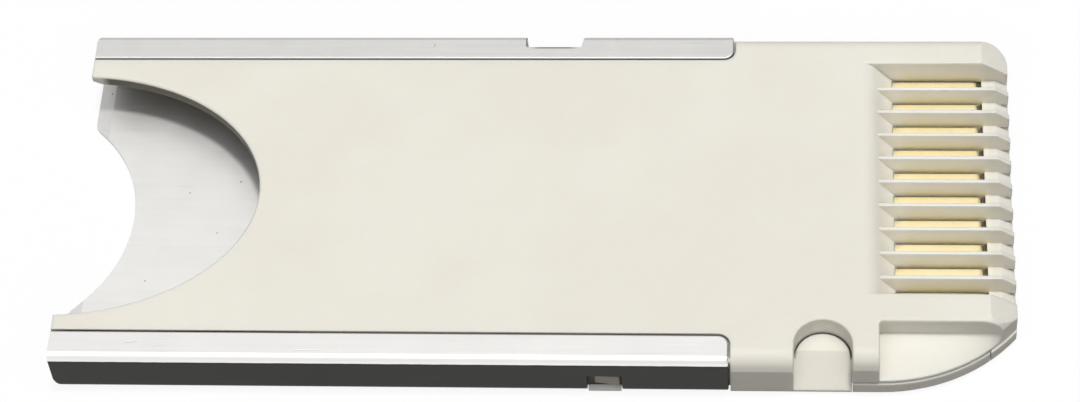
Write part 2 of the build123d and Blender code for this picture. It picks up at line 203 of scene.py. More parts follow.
class Graph:
    """The nodes of one material or of the world."""

    def __init__(self, tree: bpy.types.NodeTree) -> None:
        """Take over a node tree and empty it.

        Args:
            tree: Node tree of a material or a world.
        """
        self.tree = tree
        tree.nodes.clear()

    def add(
        self,
        kind: NodeKind,
        settings: Optional[dict[str, Any]] = None,
        inputs: Optional[dict[Key, Input]] = None,
    ) -> bpy.types.Node:
        """Add a node.

        Args:
            kind: Type of the node.
            settings: Its properties by name, which are set first.
            inputs: Values or links of its input sockets, by name or place.

        Returns:
            The new node.
        """
        node = self.tree.nodes.new(kind.value)
        for name, value in (settings or {}).items():
            setattr(node, name, value)
        for key, value in (inputs or {}).items():
            self.feed(node.inputs[key], value)
        return node

    def feed(self, socket: bpy.types.NodeSocket, value: Input) -> None:
        """Give an input socket its value or its link.

        Args:
            socket: Input socket.
            value: A plain value, a Value or an output socket.
        """
        if isinstance(value, Value):
            self.tree.links.new(value.socket, socket)
        elif isinstance(value, bpy.types.NodeSocket):
            self.tree.links.new(value, socket)
        elif isinstance(value, tuple) and socket.type == "RGBA":
            socket.default_value = (*value, 1.0)
        else:
            socket.default_value = value

    def parts(self, vector: bpy.types.NodeSocket) -> tuple[Value, Value, Value]:
        """Split a vector.

        Args:
            vector: Link that carries it.

        Returns:
            Its X, Y and Z.
        """
        x, y, z = self.add(NodeKind.SEPARATE, None, {0: vector}).outputs
        return Value(self, x), Value(self, y), Value(self, z)

    def dot(self, first: bpy.types.NodeSocket, second: Input) -> Value:
        """Return how far one vector reaches along another."""
        node = self.add(NodeKind.VECTOR_MATH, {"operation": "DOT_PRODUCT"}, {0: first, 1: second})
        return Value(self, node.outputs["Value"])

    def mix(self, factor: Number, first: Input, second: Input) -> bpy.types.NodeSocket:
        """Mix two colours.

        Args:
            factor: 0 for the first colour, 1 for the second.
            first: Colour or link.
            second: Colour or link.

        Returns:
            The mixed colour.
        """
        node = self.add(
            NodeKind.MIX,
            {"data_type": "RGBA", "clamp_factor": True},
            {
                MixSocket.FACTOR.value: factor,
                MixSocket.FIRST.value: first,
                MixSocket.SECOND.value: second,
            },
        )
        return node.outputs[MixSocket.RESULT.value]

    def rays(self, *kinds: RayKind) -> Value:
        """Tell some kinds of ray from the rest.

        Args:
            kinds: The kinds.

        Returns:
            1 for a ray of one of these kinds, 0 for any other.
        """
        path = self.add(NodeKind.LIGHT_PATH).outputs
        found = Value(self, path[kinds[0].value])
        for kind in kinds[1:]:
            found = found.at_least(Value(self, path[kind.value]))
        return found

    def mix_shaders(
        self, factor: Number, first: bpy.types.Node, second: bpy.types.Node
    ) -> bpy.types.Node:
        """Mix two shaders.

        Args:
            factor: 0 for the first shader, 1 for the second.
            first: Shader node.
            second: Shader node.

        Returns:
            The node of the mixed shader.
        """
        shaders = {0: factor, 1: first.outputs[0], 2: second.outputs[0]}
        return self.add(NodeKind.MIX_SHADER, None, shaders)

    def toned(self, colour: Input, tone: Value) -> bpy.types.NodeSocket:
        """Multiply a colour by a number."""
        node = self.add(NodeKind.VECTOR_MATH, {"operation": "SCALE"}, {0: colour, "Scale": tone})
        return node.outputs[0]

    def turned(
        self,
        place: bpy.types.NodeSocket,
        scale: Triple,
        turn: float = 0.0,
        shift: Triple = (0.0, 0.0, 0.0),
    ) -> bpy.types.NodeSocket:
        """Turn and scale a place, so that a pattern on it runs its own way.

        Args:
            place: Place on the surface.
            scale: Scale along each axis, after the turn.
            turn: Turn about Z, in degrees.
            shift: Shift of the pattern, so that two patterns differ.

        Returns:
            The new place.
        """
        rotation = (0.0, 0.0, math.radians(turn))
        level = self.add(NodeKind.MAPPING, None, {"Vector": place, "Rotation": rotation})
        stretched = {"Vector": level.outputs[0], "Scale": scale, "Location": shift}
        return self.add(NodeKind.MAPPING, None, stretched).outputs[0]

    def noise(self, place: bpy.types.NodeSocket, per_mm: float, detail: float) -> Value:
        """Soft noise about 0.5.

        Args:
            place: Place on the surface, in millimetres.
            per_mm: Lumps per millimetre.
            detail: Octaves of finer noise on it.

        Returns:
            The noise.
        """
        inputs = {"Vector": place, "Scale": per_mm, "Detail": detail}
        return Value(self, self.add(NodeKind.NOISE, None, inputs).outputs[0])


def linear(red: int, green: int, blue: int) -> Colour:
    """Turn a colour as a screen shows it, from 0 to 255, into light by the sRGB curve.

    Args:
        red: Red of the screen colour.
        green: Green of the screen colour.
        blue: Blue of the screen colour.

    Returns:
        The same colour in linear light.
    """
    shares = [channel / 255 for channel in (red, green, blue)]
    light = [s / 12.92 if s <= 0.04045 else ((s + 0.055) / 1.055) ** 2.4 for s in shares]
    return light[0], light[1], light[2]


@dataclass(frozen=True)
class Box:
    """A box that a finish fills with a colour of its own.

    Attributes:
        low: Its lowest X, Y and Z.
        high: Its highest X, Y and Z.
        soft: Width of its soft rim.
    """

    low: Triple
    high: Triple
    soft: float = 0.03


@dataclass(frozen=True)
class Tint:
    """A colour that is laid over another.

    Attributes:
        colour: The colour.
        share: How much of it shows.
    """

    colour: Colour
    share: float = 1.0


@dataclass(frozen=True)
class Mark:
    """A short scratch, dent or speck at a known place on a face that looks up.

    Attributes:
        x: Middle of the mark along X.
        y: Middle of the mark along Y.
        half_length: Half of its length.
        half_width: Half of its width.
        turn: Angle of its length from X, in degrees.
        core: Share of the mark that is full, inside its soft rim.
    """

    x: float
    y: float
    half_length: float
    half_width: float
    turn: float = 0.0
    core: float = 0.45

    def mask(self, x: Value, y: Value) -> Value:
        """Cover the mark.

        Args:
            x: Place along X.
            y: Place along Y.

        Returns:
            1 in the middle of the mark, and 0 outside it.
        """
        angle = math.radians(self.turn)
        cosine, sine = math.cos(angle), math.sin(angle)
        along = (x - self.x) * cosine + (y - self.y) * sine
        across = (y - self.y) * cosine - (x - self.x) * sine
        reach = abs(along / self.half_length).at_least(abs(across / self.half_width))
        return reach.fall(self.core, 1.0)


class Surface:
    """A new material, with the sums of the patterns that are laid on it.

    Attributes:
        material: The material.
        graph: Its nodes.
        place: Place on the piece, in millimetres.
        x: Its X.
        y: Its Y.
        z: Its Z.
        soft_normal: Direction that the surface faces, with the edges rounded.
        edge: 1 on a rounded edge, 0 on a face.
        levelness: 1 on a level face, 0 on an upright one.
        tone: Factor of the colour.
        roughness: Roughness.
        height: Relief, in millimetres.
    """

    EDGE_SAMPLES: int = 6
    SHELTER_SAMPLES: int = 6
    EDGE_AGREEMENT: Range = (0.90, 0.995)
    SCRATCH_STRETCH: float = 0.05
    SCRATCH_PATCHES: float = 0.22
    SCRATCH_SHARE: Range = (0.52, 0.66)

    def __init__(self, name: str, edge_radius: float, roughness: float) -> None:
        """Start a material.

        Args:
            name: Name of the material.
            edge_radius: Radius to which the light sees the edges rounded.
            roughness: Roughness before any pattern is laid.
        """
        self.material = bpy.data.materials.new(name)
        self.material.use_nodes = True
        self.graph = Graph(self.material.node_tree)
        self.tone: Number = 1.0
        self.roughness: Number = roughness
        self.height: Number = 0.0
        graph = self.graph
        metres = graph.add(NodeKind.COORDINATES).outputs["Object"]
        millimetres = {"Vector": metres, "Scale": (1 / MM,) * 3}
        self.place = graph.add(NodeKind.MAPPING, None, millimetres).outputs[0]
        self.x, self.y, self.z = graph.parts(self.place)
        bevel = graph.add(
            NodeKind.BEVEL, {"samples": self.EDGE_SAMPLES}, {"Radius": edge_radius * MM}
        )
        self.soft_normal = bevel.outputs[0]
        geometry = graph.add(NodeKind.GEOMETRY).outputs
        agreement = graph.dot(self.soft_normal, geometry["Normal"])
        self.edge = agreement.fall(*self.EDGE_AGREEMENT)
        self.levelness = abs(graph.parts(geometry["True Normal"])[2])

    def lay(
        self, pattern: Value, tone: float = 0.0, roughness: float = 0.0, height: float = 0.0
    ) -> None:
        """Let a pattern show.

        Args:
            pattern: Number that varies over the surface.
            tone: Share by which it lightens the colour.
            roughness: How much it roughens the surface.
            height: How high it stands, in millimetres.
        """
        if tone:
            self.tone = self.tone + pattern * tone
        if roughness:
            self.roughness = self.roughness + pattern * roughness
        if height:
            self.height = self.height + pattern * height

    def grain(self, per_mm: float, detail: float, stretch: Optional[Triple] = None) -> Value:
        """Soft noise about 0.

        Args:
            per_mm: Lumps per millimetre.
            detail: Octaves of finer noise on it.
            stretch: How closely the lumps lie along each axis, if not alike.

        Returns:
            The noise.
        """
        place = self.graph.turned(self.place, stretch) if stretch else self.place
        return self.graph.noise(place, per_mm, detail) - 0.5

    def openness(self, reach: float) -> Value:
        """How freely the surface is open to its surroundings.

        Args:
            reach: How far away something still shelters it, in millimetres.

        Returns:
            1 in the open, 0 deep in a crevice.
        """
        settings = {"samples": self.SHELTER_SAMPLES}
        sky = self.graph.add(NodeKind.OCCLUSION, settings, {"Distance": reach * MM})
        return Value(self.graph, sky.outputs["AO"])

    def inside(self, box: Box) -> Value:
        """Cover what lies in a box.

        Args:
            box: The box.

        Returns:
            1 in the box, 0 outside it.
        """
        along, across, up = (
            place.within(low, high, box.soft, box.soft)
            for place, low, high in zip((self.x, self.y, self.z), box.low, box.high)
        )
        return along * across * up

    def marked(self, marks: tuple[Mark, ...]) -> Value:
        """Cover several marks.

        Args:
            marks: The marks.

        Returns:
            1 in a mark, 0 outside.
        """
        cover = marks[0].mask(self.x, self.y)
        for mark in marks[1:]:
            cover = cover.at_least(mark.mask(self.x, self.y))
        return cover

    def tinted(self, colour: Input, cover: Value, tint: Tint) -> bpy.types.NodeSocket:
        """Lay a colour over another.

        Args:
            colour: Colour underneath.
            cover: 1 where the tint is laid, 0 elsewhere.
            tint: Colour that is laid.

        Returns:
            The new colour.
        """
        return self.graph.mix(cover * tint.share, colour, tint.colour)

    def hairlines(self, turn: float, per_mm: float, width: float, shift: float) -> Value:
        """Sparse fine scratches that run one way.

        Args:
            turn: Direction of the scratches, in degrees.
            per_mm: How closely they lie across.
            width: Width of a scratch, as a share of the noise.
            shift: Shift of the pattern, so that two families differ.

        Returns:
            1 in a scratch, 0 beside it.
        """
        graph = self.graph
        stretch = (self.SCRATCH_STRETCH * per_mm, per_mm, per_mm)
        fibre = graph.turned(self.place, stretch, turn, (shift, shift, 0.0))
        line = abs(graph.noise(fibre, 1.0, 1.0) - 0.5).fall(0.0, width)
        patches = graph.turned(self.place, (self.SCRATCH_PATCHES,) * 3, turn, (0.0, shift, shift))
        return line * graph.noise(patches, 1.0, 1.0).rise(*self.SCRATCH_SHARE)

    def finish(
        self,
        colour: Input,
        metallic: Input,
        constants: Optional[dict[str, Union[float, Colour]]] = None,
    ) -> bpy.types.Material:
        """Join the finish's patterns to the shader.

        Args:
            colour: Base colour or its link.
            metallic: Share of metal or its link.
            constants: Other shader sockets that are the same all over, by name.

        Returns:
            The finished material.
        """
        graph = self.graph
        relief = {"Strength": 1.0, "Distance": MM, "Height": self.height}
        bump = graph.add(NodeKind.BUMP, None, {**relief, "Normal": self.soft_normal})
        shader = graph.add(
            NodeKind.PRINCIPLED,
            None,
            {
                "Base Color": colour,
                "Roughness": self.roughness,
                "Metallic": metallic,
                "Normal": bump.outputs[0],
                **(constants or {}),
            },
        )
        graph.add(NodeKind.SURFACE_OUTPUT, None, {"Surface": shader.outputs[0]})
        return self.material


@dataclass(frozen=True)
class IvoryPlastic:
    """Ivory moulded plastic with a fine matte grain.

    Attributes:
        name: Name of the material.
        light: Colour of most of the surface.
        deep: Colour of its faintly yellower patches.
        patch_share: Noise at which the yellower patches start and are full.
        roughness: Roughness of the grain.
        grain: Height of the grain.
        sparkle: Height of the finer grain on it.
        edge_radius: Radius of the moulded edges.
        glow_depth: How far light wanders inside the plastic.
        crevice_reach: How close the walls of a crevice are.
        crevice: Openness at which a crevice is darkest, and from which it is as light as the rest.
        crevice_shade: Share of its light that a crevice loses.
        corner_reach: How far a corner shelters.
        corner: Openness at which a corner is darkest, and from which it is as light as the rest.
        corner_shade: Share of its light that a sheltered corner loses.
        lifted: Height over which shelter sets in, as the face that lies down has none.
        cut_wall_shade: Painted shade on the cut-out's wall under the slot's top edge.
        cut_level: Heights up to which the painted shade on the cut-out's wall is full, and from
            which it is gone.
        cut_along: Where along X the cut-out's wall begins and ends.
        cut_ends: Lengths over which its colour sets in and fades.
        windows: Field of contact windows between the end bars.
        window_ends: Lengths over which the colour of its ribs sets in and fades.
        thin: Painted light on the thin ribs, lighter than the plain plastic where light passes
            through them.
        gold_glow_light: Painted light on the ribs' feet, the glow that the gold strips throw on
            them.
        glow_level: Height up to which the glow is full, and at which it ends.
        glow_start: Where along X the glow sets in and is full.
        recess: Painted shade behind the cover's side window, nearly black.
        recess_box: Place of that recess.
        catch: Painted shade on the catch in that window.
        catch_box: Place of the catch.
    """

    name: str = "ivory_plastic"
    light: Colour = linear(237, 234, 224)
    deep: Colour = linear(235, 231, 220)
    patch_share: Range = (0.35, 0.65)
    roughness: float = 0.5
    grain: float = 0.004
    sparkle: float = 0.0014
    edge_radius: float = 0.09
    glow_depth: float = 0.5
    crevice_reach: float = 0.3
    crevice: Range = (0.12, 0.45)
    crevice_shade: float = 0.7
    corner_reach: float = 1.0
    corner: Range = (0.40, 0.90)
    corner_shade: float = 0.12
    lifted: Range = (0.01, 0.05)
    cut_wall_shade: Tint = Tint(linear(80, 73, 60), 0.9)
    cut_level: Range = (2.63, 2.75)
    cut_along: Range = (-24.6, -11.5)
    cut_ends: Range = (0.6, 0.8)
    windows: Box = Box((18.0, -6.63, 1.0), (24.0, 9.0, 2.74))
    window_ends: Range = (1.3, 0.7)
    thin: Tint = Tint(linear(250, 247, 238))
    gold_glow_light: Tint = Tint(linear(252, 241, 206))
    glow_level: Range = (1.25, 1.95)
    glow_start: Range = (18.8, 19.6)
    recess: Tint = Tint(linear(34, 32, 28))
    recess_box: Box = Box((2.7, -10.6, 0.25), (4.95, -10.2, 1.6))
    catch: Tint = Tint(linear(178, 172, 158))
    catch_box: Box = Box((3.15, -10.75, 0.5), (4.65, -10.53, 1.3), 0.012)

    def shelter(self, surface: Surface, windows: Value) -> Value:
        """Paint shade into crevices and, outside the windows, into corners.

        Args:
            surface: Surface that is dressed.
            windows: 1 in the field of contact windows.

        Returns:
            Share of the light that is left.
        """
        lifted = surface.z.rise(*self.lifted)
        crevice = surface.openness(self.crevice_reach).fall(*self.crevice) * self.crevice_shade
        corner = surface.openness(self.corner_reach).fall(*self.corner) * self.corner_shade
        return (1.0 - crevice * lifted) * (1.0 - corner * lifted * (1.0 - windows))

    def lay_patterns(self, surface: Surface) -> None:
        """Lay the grain, the moulding's waves and the scratches of use.

        Args:
            surface: Surface that is dressed.
        """
        clouds = surface.grain(per_mm=1.7, detail=3.0)
        pores = surface.grain(per_mm=11.0, detail=3.0)
        sparkle = surface.grain(per_mm=26.0, detail=1.0)
        waves = surface.grain(per_mm=0.3, detail=1.0)
        fine = surface.hairlines(turn=14.0, per_mm=2.4, width=0.012, shift=3.0)
        crossed = surface.hairlines(turn=-38.0, per_mm=1.7, width=0.010, shift=11.0)
        surface.lay(clouds, tone=0.014, roughness=0.10)
        surface.lay(pores, tone=0.03, roughness=0.12, height=self.grain)
        surface.lay(sparkle, height=self.sparkle)
        surface.lay(waves, height=0.012)
        surface.lay(fine.at_least(crossed), tone=-0.012, roughness=-0.08, height=-0.0006)
        surface.lay(surface.edge, tone=0.02, roughness=-0.06)

    def material(self) -> bpy.types.Material:
        """Make the material."""
        surface = Surface(self.name, self.edge_radius, self.roughness)
        graph = surface.graph
        self.lay_patterns(surface)
        window_start, window_end = self.windows.low[0], self.windows.high[0]
        windows = surface.inside(self.windows)
        windows = windows * surface.x.within(window_start, window_end, *self.window_ends)
        cut = surface.z.fall(*self.cut_level) * surface.x.within(*self.cut_along, *self.cut_ends)
        glow = windows * surface.z.fall(*self.glow_level) * surface.x.rise(*self.glow_start)
        patches = graph.noise(surface.place, per_mm=0.16, detail=2.0).rise(*self.patch_share)
        # Painted shade: crevices and corners darken with how enclosed they are.
        tone = surface.tone * self.shelter(surface, windows)
        colour = graph.toned(graph.mix(patches, self.light, self.deep), tone)
        # Painted shade on the cut-out's wall under the slot's top edge.
        colour = surface.tinted(colour, cut, self.cut_wall_shade)
        # Painted light: the ribs in the window field are lighter than the plain plastic.
        colour = surface.tinted(colour, windows, self.thin)
        # Painted light: the gold strips' glow on the ribs' feet.
        colour = surface.tinted(colour, glow, self.gold_glow_light)
        # Painted shade: the plastic behind the side window is nearly black.
        colour = surface.tinted(colour, surface.inside(self.recess_box), self.recess)
        # Painted shade on the catch in the side window.
        colour = surface.tinted(colour, surface.inside(self.catch_box), self.catch)
        constants = {
            "IOR": 1.48,
            "Specular IOR Level": 0.35,
            "Subsurface Weight": 0.4,
            "Subsurface Radius": (1.0, 0.85, 0.6),
            "Subsurface Scale": self.glow_depth * MM,
        }
        return surface.finish(colour, 0.0, constants)


@dataclass(frozen=True)
class CoatedSteel:
    """Thin steel sheet: bare and satin on the lips and inside, dark coated on walls and label face.

    Attributes:
        name: Name of the material.
        roughness: Roughness of the bare lips.
        edge_radius: Radius of the sheet's edges.
        bare: Colour of the bare lips.
        inside: Colour of the duller face inside.
        inside_level: Height up to which that face is full, and at which it ends.
        inside_bloom: Share of metal that its bloom hides.
        lip_rim_shade: Painted shade on the lips' upright cut edges.
        dented: Colour of the scratches.
        dirty: Colour of the specks.
        notch_darkening: Colour of the darker line round the far notch.
        coat: Colour of the dark coat.
        coat_top: Colour of the coat's darker upper rim.
        half_width: Half of the cover's width.
        thickness: Height of the cover.
        sheet: Thickness of the sheet.
        bend_radius: Outer radius of its folds.
        coat_level: Height up to which the side walls are coated.
        coat_rim: Depths under that height at which the darker rim starts and is full.
        waver: How much the coat's upper edge wavers.
        skin: Depth under the outer face that counts as coated.
        blend: Half of the coat's soft upper edge, and depth of the lips' soft lower edge.
        step: Width of a blend that looks like a step.
        peel: How much the coat's thickness lightens and darkens it.
        bare_foot: Bare foot of the side window.
        foot_bloom: Share of metal that its bloom hides.
        top_depth: Depths under the lips' top at which marks on them start and are full.
        fold_margin: Distances from the outer folds at which the lips start and are full.
        round_facing: Levelness up to which a lip's rim is round, and at which it is flat.
        round_shade: Share of its light that the round rim loses.
        rim_shade_facing: Levelness up to which a lip's rim is upright and carries that painted
            shade, and at which it has none.
        specks: Specks of dirt on the inside.
        speck_level: Height up to which specks lie, and at which they end.
        scratches: Scratches on the lips.
        notch_rim: Place of the darker line on the lip round the far notch.
    """

    name: str = "coated_steel"
    roughness: float = 0.24
    edge_radius: float = 0.02
    bare: Colour = (0.91, 0.895, 0.875)
    inside: Tint = Tint((0.71, 0.705, 0.69))
    inside_level: Range = (0.5, 1.0)
    inside_bloom: float = 0.15
    lip_rim_shade: Tint = Tint(linear(96, 93, 84), 0.85)
    dented: Tint = Tint(linear(150, 146, 138), 0.35)
    dirty: Tint = Tint(linear(92, 84, 72), 0.85)
    notch_darkening: Tint = Tint(linear(84, 82, 78), 0.8)
    coat: Colour = linear(41, 40, 37)
    coat_top: Colour = linear(20, 19, 17)
    half_width: float = 10.75
    thickness: float = 2.8
    sheet: float = 0.2
    bend_radius: float = 0.4
    coat_level: float = 2.43
    coat_rim: Range = (0.22, 0.08)
    waver: float = 0.05
    skin: float = 0.02
    blend: float = 0.02
    step: float = 0.01
    peel: float = 0.25
    bare_foot: Box = Box((2.85, -10.9, -0.1), (4.8, -10.3, 0.4))
    foot_bloom: float = 0.85
    top_depth: Range = (0.12, 0.02)
    fold_margin: Range = (0.15, 0.05)
    round_facing: Range = (0.96, 0.999)
    round_shade: float = 0.35
    rim_shade_facing: Range = (0.35, 0.60)
    specks: tuple[Mark, ...] = (
        Mark(-16.53, 2.52, 0.07, 0.05, 20.0),
        Mark(-19.26, 1.76, 0.05, 0.04),
        Mark(-17.48, -0.91, 0.04, 0.04),
        Mark(-15.47, -1.49, 0.05, 0.04, 60.0),
        Mark(-21.03, -4.09, 0.05, 0.04),
        Mark(-24.40, 8.60, 0.06, 0.05, 35.0),
    )
    speck_level: Range = (0.25, 0.35)
    scratches: tuple[Mark, ...] = (
        Mark(-20.72, -9.75, 0.45, 0.03, 8.0),
        Mark(-11.42, -10.16, 1.0, 0.025, 1.5),
        Mark(-6.20, 10.0, 0.18, 0.04, 70.0),
    )
    notch_rim: tuple[Mark, ...] = (
        Mark(0.37, 9.80, 1.45, 0.06),
        Mark(-1.15, 10.20, 0.05, 0.40),
    )

    def coated(self, surface: Surface) -> Value:
        """Cover the outer faces that carry the coat: side walls, lower folds and label face.

        Args:
            surface: Surface that is dressed.

        Returns:
            1 on the coat, 0 on bare steel.
        """
        side = abs(surface.y)
        inner_face = self.half_width - self.sheet
        waver = surface.grain(per_mm=1.3, detail=3.0) * self.waver
        wall = side.rise(inner_face + self.skin / 2, inner_face + self.skin)
        top = (surface.z + waver).fall(self.coat_level - self.blend, self.coat_level + self.blend)
        label = surface.z.fall(self.skin, 2 * self.skin)
        out = side - (self.half_width - self.bend_radius)
        down = self.bend_radius - surface.z
        out_part, down_part = out.at_least(0.0), down.at_least(0.0)
        from_centre = out_part * out_part + down_part * down_part
        fold = from_centre.rise(
            (self.bend_radius - 2 * self.skin) ** 2, (self.bend_radius - self.skin) ** 2
        )
        fold = fold * out.rise(-self.step, 0.0) * down.rise(-self.step, 0.0)
        return (wall * top).at_least(label).at_least(fold)

    def lips(self, surface: Surface) -> Value:
        """Cover the two lips inside their outer folds.

        Args:
            surface: Surface that is dressed.

        Returns:
            1 on the lips, 0 elsewhere.
        """
        underside = self.thickness - self.sheet
        fold = self.half_width - self.bend_radius
        beside = abs(surface.y).fall(fold - self.fold_margin[0], fold - self.fold_margin[1])
        return surface.z.rise(underside - self.blend, underside) * beside

    def coat_colour(self, surface: Surface, cloud: Value) -> bpy.types.NodeSocket:
        """Colour the coat, darker along its upper rim.

        Args:
            surface: Surface that is dressed.
            cloud: Soft noise in the coat's thickness.

        Returns:
            The coat's colour.
        """
        rim_foot, rim_full = self.coat_rim
        rim = surface.z.rise(self.coat_level - rim_foot, self.coat_level - rim_full)
        dark = surface.graph.mix(rim, self.coat, self.coat_top)
        return surface.graph.toned(dark, 1.0 + cloud * self.peel)

    def material(self) -> bpy.types.Material:
        """Make the material."""
        surface = Surface(self.name, self.edge_radius, self.roughness)
        graph = surface.graph
        foot = surface.inside(self.bare_foot)
        coat = self.coated(surface) * (1.0 - foot)
        inner = surface.z.fall(*self.inside_level) * (1.0 - coat)
        top = surface.z.rise(
            self.thickness - self.top_depth[0], self.thickness - self.top_depth[1]
        )
        lips = self.lips(surface)
        rounded = surface.levelness.fall(*self.round_facing) * lips
        rim_shade_cover = surface.levelness.fall(*self.rim_shade_facing) * lips
        specks = surface.marked(self.specks) * surface.z.fall(*self.speck_level) * (1.0 - coat)
        dents = surface.marked(self.scratches) * top
        notch_line = surface.marked(self.notch_rim) * top
        rolled = surface.grain(per_mm=1.0, detail=3.0, stretch=(0.10, 5.5, 5.5))
        satin = surface.grain(per_mm=14.0, detail=2.0)
        clouds = surface.grain(per_mm=0.6, detail=2.0)
        peel = surface.grain(per_mm=5.0, detail=2.0)
        lines = surface.hairlines(turn=2.0, per_mm=3.0, width=0.012, shift=5.0)
        crossed = surface.hairlines(turn=55.0, per_mm=1.6, width=0.010, shift=17.0)
        surface.lay(rolled, tone=0.07, roughness=0.06, height=0.0010)
        surface.lay(satin, tone=0.05, roughness=0.08, height=0.0006)
        surface.lay(clouds, tone=0.05, roughness=0.05)
        surface.lay(lines.at_least(crossed * 0.3), tone=-0.06, roughness=-0.05, height=-0.001)
        surface.lay(dents, height=-0.002)
        surface.lay(specks, roughness=0.3, height=0.01)
        surface.lay(peel * coat, height=0.004)
        surface.lay(coat, roughness=0.22, height=0.006)
        surface.lay(inner, roughness=0.22)
        surface.lay(rounded, roughness=0.42)
        surface.lay(foot, roughness=0.3)
        bare = surface.tinted(self.bare, inner * (1.0 - foot), self.inside)
        bare = surface.tinted(bare, dents, self.dented)
        bare = surface.tinted(bare, specks, self.dirty)
        # Darker line on the lip round the far notch.
        bare = surface.tinted(bare, notch_line, self.notch_darkening)
        bare = graph.toned(bare, 1.0 - rounded * self.round_shade)
        # Painted shade on the lips' upright cut edges.
        bare = surface.tinted(bare, rim_shade_cover, self.lip_rim_shade)
        bare = graph.toned(bare, surface.tone)
        colour = graph.mix(coat, bare, self.coat_colour(surface, peel + clouds))
        metallic = (1.0 - coat) * (1.0 - specks)
        metallic = metallic * (1.0 - inner * self.inside_bloom) * (1.0 - foot * self.foot_bloom)
        return surface.finish(colour, metallic, {"Specular IOR Level": 0.3})


@dataclass(frozen=True)
class SpringSteel:
    """Bare rolled spring steel.

    Attributes:
        name: Name of the material.
        colour: Colour of the steel.
        roughness: Roughness of its satin face.
        edge_radius: Radius of the strip's edges.
    """

    name: str = "spring_strip"
    colour: Colour = (0.62, 0.61, 0.59)
    roughness: float = 0.3
    edge_radius: float = 0.02

    def material(self) -> bpy.types.Material:
        """Make the material."""
        surface = Surface(self.name, self.edge_radius, self.roughness)
        rolled = surface.grain(per_mm=1.0, detail=3.0, stretch=(0.3, 9.0, 9.0))
        haze = surface.grain(per_mm=1.1, detail=2.0)
        lines = surface.hairlines(turn=0.0, per_mm=4.0, width=0.015, shift=2.0)
        surface.lay(rolled, tone=0.14, roughness=0.10, height=0.0012)
        surface.lay(haze, tone=0.12, roughness=0.10)
        surface.lay(lines, tone=-0.12, height=-0.001)
        surface.lay(surface.edge, tone=0.08)
        return surface.finish(surface.graph.toned(self.colour, surface.tone), 1.0)


@dataclass(frozen=True)
class GoldPlate:
    """Gold plating on rolled strip, with faint rubbing where a device's springs slide.

    Attributes:
        name: Name of the material.
        light: Colour of clean plating.
        deep: Colour of its richer patches.
        patch_share: Noise at which the richer patches start and are full.
        rubbed: Colour of the rubbed track.
        track_along: Where along X the rubbed track begins and ends.
        track_ends: Lengths over which it sets in and fades.
        shaded: Painted shade on the strip where it meets the ribs.
        corner_reach: How far from the ribs it is shaded.
        near_shade: Openness at which the dark shade beside a rib is full, and at which it ends.
        near_share: How dark that shade is.
        far_shade: Openness at which the faint shade further out is full, and at which it ends.
        far_share: How dark that shade is.
        roughness: Roughness of the plating.
        metallic: Share of metal under its satin bloom.
        edge_radius: Radius of the strip's edges.
    """

    name: str = "gold_plate"
    light: Colour = (0.84, 0.74, 0.47)
    deep: Colour = (0.83, 0.71, 0.42)
    patch_share: Range = (0.38, 0.62)
    rubbed: Tint = Tint((0.85, 0.77, 0.53))
    track_along: Range = (19.6, 22.6)
    track_ends: Range = (0.6, 0.5)
    shaded: Tint = Tint(linear(118, 98, 30))
    corner_reach: float = 0.7
    near_shade: Range = (0.46, 0.70)
    near_share: float = 0.8
    far_shade: Range = (0.55, 0.85)
    far_share: float = 0.15
    roughness: float = 0.55
    metallic: float = 0.5
    edge_radius: float = 0.02

    def material(self) -> bpy.types.Material:
        """Make the material."""
        surface = Surface(self.name, self.edge_radius, self.roughness)
        graph = surface.graph
        rolled = surface.grain(per_mm=1.0, detail=3.0, stretch=(0.25, 10.0, 10.0))
        satin = surface.grain(per_mm=18.0, detail=2.0)
        lines = surface.hairlines(turn=0.0, per_mm=5.0, width=0.02, shift=7.0)
        rub = surface.x.within(*self.track_along, *self.track_ends) * lines
        surface.lay(rolled, tone=0.08, roughness=0.10, height=0.0012)
        surface.lay(satin, tone=0.05, roughness=0.06, height=0.0004)
        surface.lay(lines, height=-0.001)
        surface.lay(rub, roughness=-0.06)
        surface.lay(surface.edge, tone=0.04)
        patches = graph.noise(surface.place, per_mm=0.9, detail=2.0).rise(*self.patch_share)
        colour = surface.tinted(graph.mix(patches, self.light, self.deep), rub, self.rubbed)
        colour = graph.toned(colour, surface.tone)
        # Painted shade on the strip beside the ribs, from how enclosed it is.
        openness = surface.openness(self.corner_reach)
        shade = openness.fall(*self.near_shade) * self.near_share
        shade = shade + openness.fall(*self.far_shade) * self.far_share
        return surface.finish(surface.tinted(colour, shade, self.shaded), self.metallic)


@dataclass
class CarriedPieces:
    """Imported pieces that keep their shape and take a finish.

    Attributes:
        nodes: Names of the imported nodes.
        finish: What they are made of.
    """

    nodes: tuple[str, ...]
    finish: Union[IvoryPlastic, CoatedSteel, SpringSteel, GoldPlate]

    def dress(self) -> None:
        """Give every piece its material."""
        material = self.finish.material()
        for name in self.nodes:
            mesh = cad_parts[name].data
            mesh.materials.clear()
            mesh.materials.append(material)
            self.report(name)

    def report(self, name: str) -> None:
        """Log where a piece is and what it is made of.

        Args:
            name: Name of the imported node.
        """
        low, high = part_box(name)
        size = [round((b - a) / MM, 2) for a, b in zip(low, high)]
        LOG.info("%s: %s mm, %s", name, size, self.finish.name)


@dataclass
class MouldedHousing(CarriedPieces):
    """The moulded housing."""

    nodes: tuple[str, ...] = ("base_housing",)
    finish: IvoryPlastic = field(default_factory=IvoryPlastic)


@dataclass
class BackPlate(CarriedPieces):
    """The moulded plate that closes the label side, with softer edges."""

    nodes: tuple[str, ...] = ("back_plate",)
    # Stronger painted shade in the plate's corners, where it meets the housing's wall.
    finish: IvoryPlastic = IvoryPlastic(
        name="ivory_plate", edge_radius=0.16, corner_reach=0.3, corner_shade=0.6
    )


